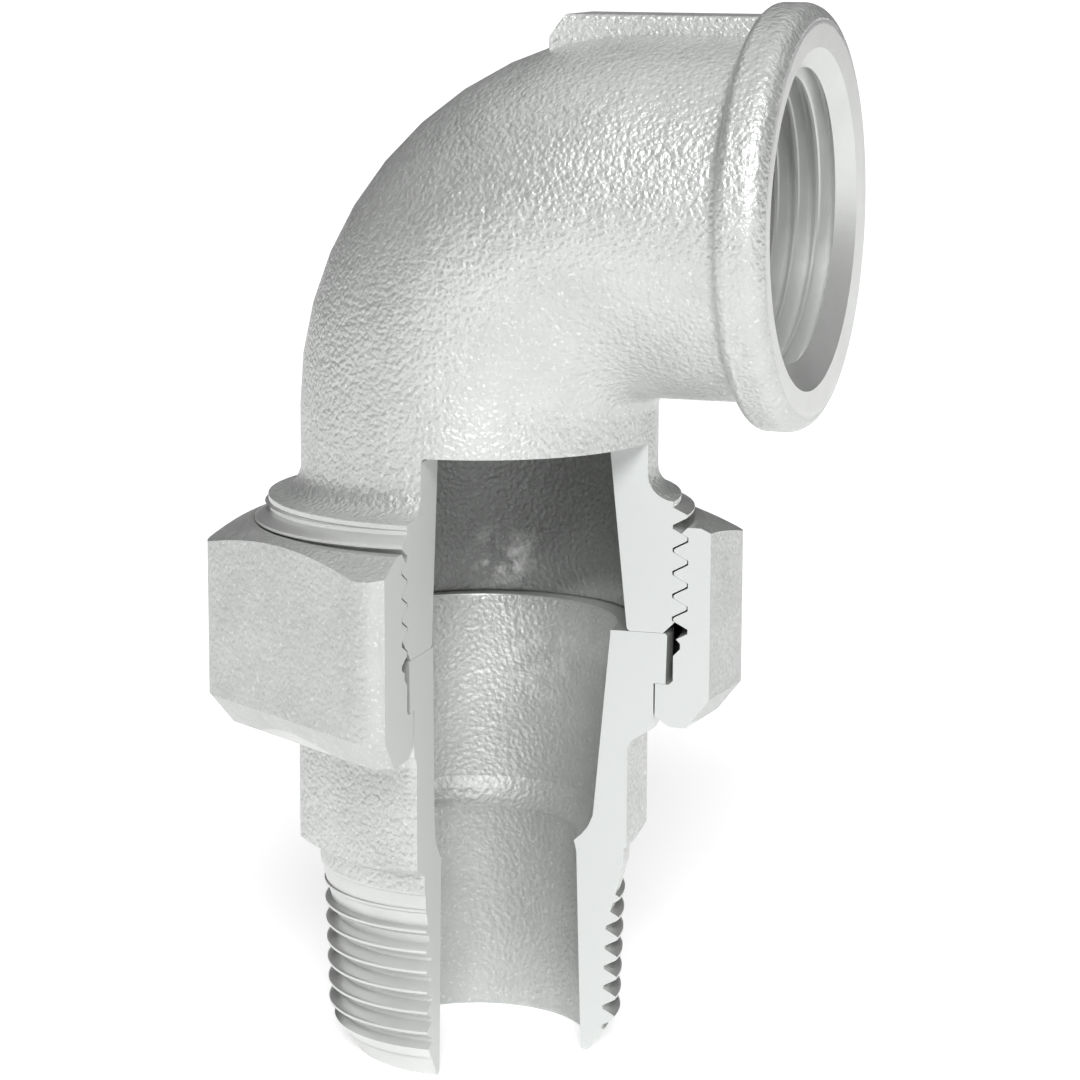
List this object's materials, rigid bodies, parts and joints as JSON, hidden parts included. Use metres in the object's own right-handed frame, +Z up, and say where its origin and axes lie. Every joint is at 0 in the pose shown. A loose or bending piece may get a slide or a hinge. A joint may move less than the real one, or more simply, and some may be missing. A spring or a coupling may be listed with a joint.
{
  "type": "union elbow",
  "caption": "Right-angle pipe union with a threaded male tail, a hexagonal union nut and a cast elbow with a beaded female outlet, with a quarter milled away to show the threads and flat seat.",
  "frame": {"origin": "centre of the tail's threaded end, on the union axis", "axes": "+Z up along the union axis towards the elbow, +X the way the outlet faces, the milled quarter is at +X, -Y, turned 1.8 degrees about the union axis"},
  "size_m": [0.0643, 0.0592, 0.1166],
  "materials": {
    "cast_body": "satin",
    "cast_nut": "satin",
    "cast_tail": "satin"
  },
  "bodies": {
    "tail": {"tail_piece": "cast_tail"},
    "nut": {"union_nut": "cast_nut"},
    "elbow": {"elbow_body": "cast_body"}
  },
  "joints": [
    {"name": "nut_turn", "type": "hinge", "parent": "tail", "child": "nut", "pos_m": [0, 0, 0.049], "axis": [0, 0, -1], "range_deg": [0, 1346.46]},
    {"name": "union_opening", "type": "slide", "parent": "tail", "child": "elbow", "axis": [0, 0, 1], "range_m": [0, 0.0095]}
  ],
  "couplings": [
    {"joint": "nut_turn", "follows": "union_opening", "rad_per_m": 2473.7}
  ]
}
